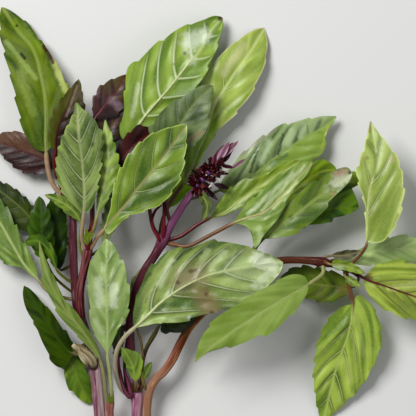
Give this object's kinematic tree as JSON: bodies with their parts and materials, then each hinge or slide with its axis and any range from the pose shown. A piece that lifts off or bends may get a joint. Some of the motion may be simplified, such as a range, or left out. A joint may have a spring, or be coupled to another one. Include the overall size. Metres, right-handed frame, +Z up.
{
  "type": "thai basil bunch",
  "caption": "Cut bunch of Thai basil lying flat: purple stems gathered at one end, toothed green and purple leaves in loose layers, and a dark flower head.",
  "frame": {"origin": "centre of the footprint, on the surface that the bunch lies on", "axes": "+Y from the cut stem ends towards the leaf tips, +X to the right seen from above, +Z up out of the surface"},
  "size_m": [0.2399, 0.2511, 0.0313],
  "materials": {
    "stem_purple": "satin",
    "stem_pink": "satin",
    "stem_brown": "satin",
    "flower": "matte",
    "leaf_fresh": "satin",
    "leaf_pale": "satin",
    "leaf_sage": "matte",
    "leaf_yellow": "satin",
    "leaf_dark": "satin",
    "leaf_olive": "satin",
    "leaf_purple": "gloss",
    "leaf_dusk": "gloss"
  },
  "bodies": {
    "root": {"stem_left": "stem_purple", "stem_slim": "stem_pink", "stem_centre": "stem_purple", "stem_right": "stem_brown", "flower_head": "flower", "leaf_left_tall": "leaf_yellow", "leaf_left_purple": "leaf_purple", "leaf_left_purple_upright": "leaf_olive", "leaf_left_front": "leaf_sage", "leaf_left_front_narrow": "leaf_fresh", "leaf_centre_upper": "leaf_pale", "leaf_purple_glossy": "leaf_purple", "leaf_purple_back": "leaf_purple", "leaf_purple_dark": "leaf_dusk", "leaf_top_large": "leaf_pale", "leaf_top_long": "leaf_fresh", "leaf_top_back": "leaf_dark", "leaf_top_grey": "leaf_sage", "leaf_flower_back": "leaf_fresh", "leaf_flower_front_upper": "leaf_yellow", "leaf_flower_front_lower": "leaf_fresh", "leaf_right_middle": "leaf_fresh", "leaf_right_olive": "leaf_olive", "leaf_right_dark": "leaf_dark", "leaf_right_pointed": "leaf_olive", "leaf_right_upright": "leaf_yellow", "leaf_right_edge_grey": "leaf_sage", "leaf_right_edge_striped": "leaf_yellow", "leaf_right_hanging": "leaf_fresh", "leaf_right_long_low": "leaf_pale", "leaf_right_back_dark": "leaf_dark", "young_leaf_right_upper": "leaf_yellow", "young_leaf_right_back": "leaf_pale", "young_leaf_right_lower": "leaf_yellow", "leaf_centre_large": "leaf_pale", "leaf_centre_silver": "leaf_pale", "leaf_left_diagonal": "leaf_fresh", "leaf_low_left_dark": "leaf_dark", "leaf_low_left_under": "leaf_fresh", "leaf_left_small_bright": "leaf_fresh", "leaf_edge_left_dark": "leaf_dark", "leaf_edge_left_light": "leaf_fresh", "leaf_left_small_serrated": "leaf_dark", "leaf_left_curled": "leaf_fresh", "leaf_left_behind": "leaf_dark", "young_leaf_low_upper": "leaf_fresh", "young_leaf_low_lower": "leaf_fresh", "leaf_centre_shadow": "leaf_dark", "leaf_low_centre_dark": "leaf_dark", "leaf_under_large": "leaf_dark", "leaf_centre_strip": "leaf_dark", "leaf_under_flower": "leaf_pale"}
  },
  "joints": []
}
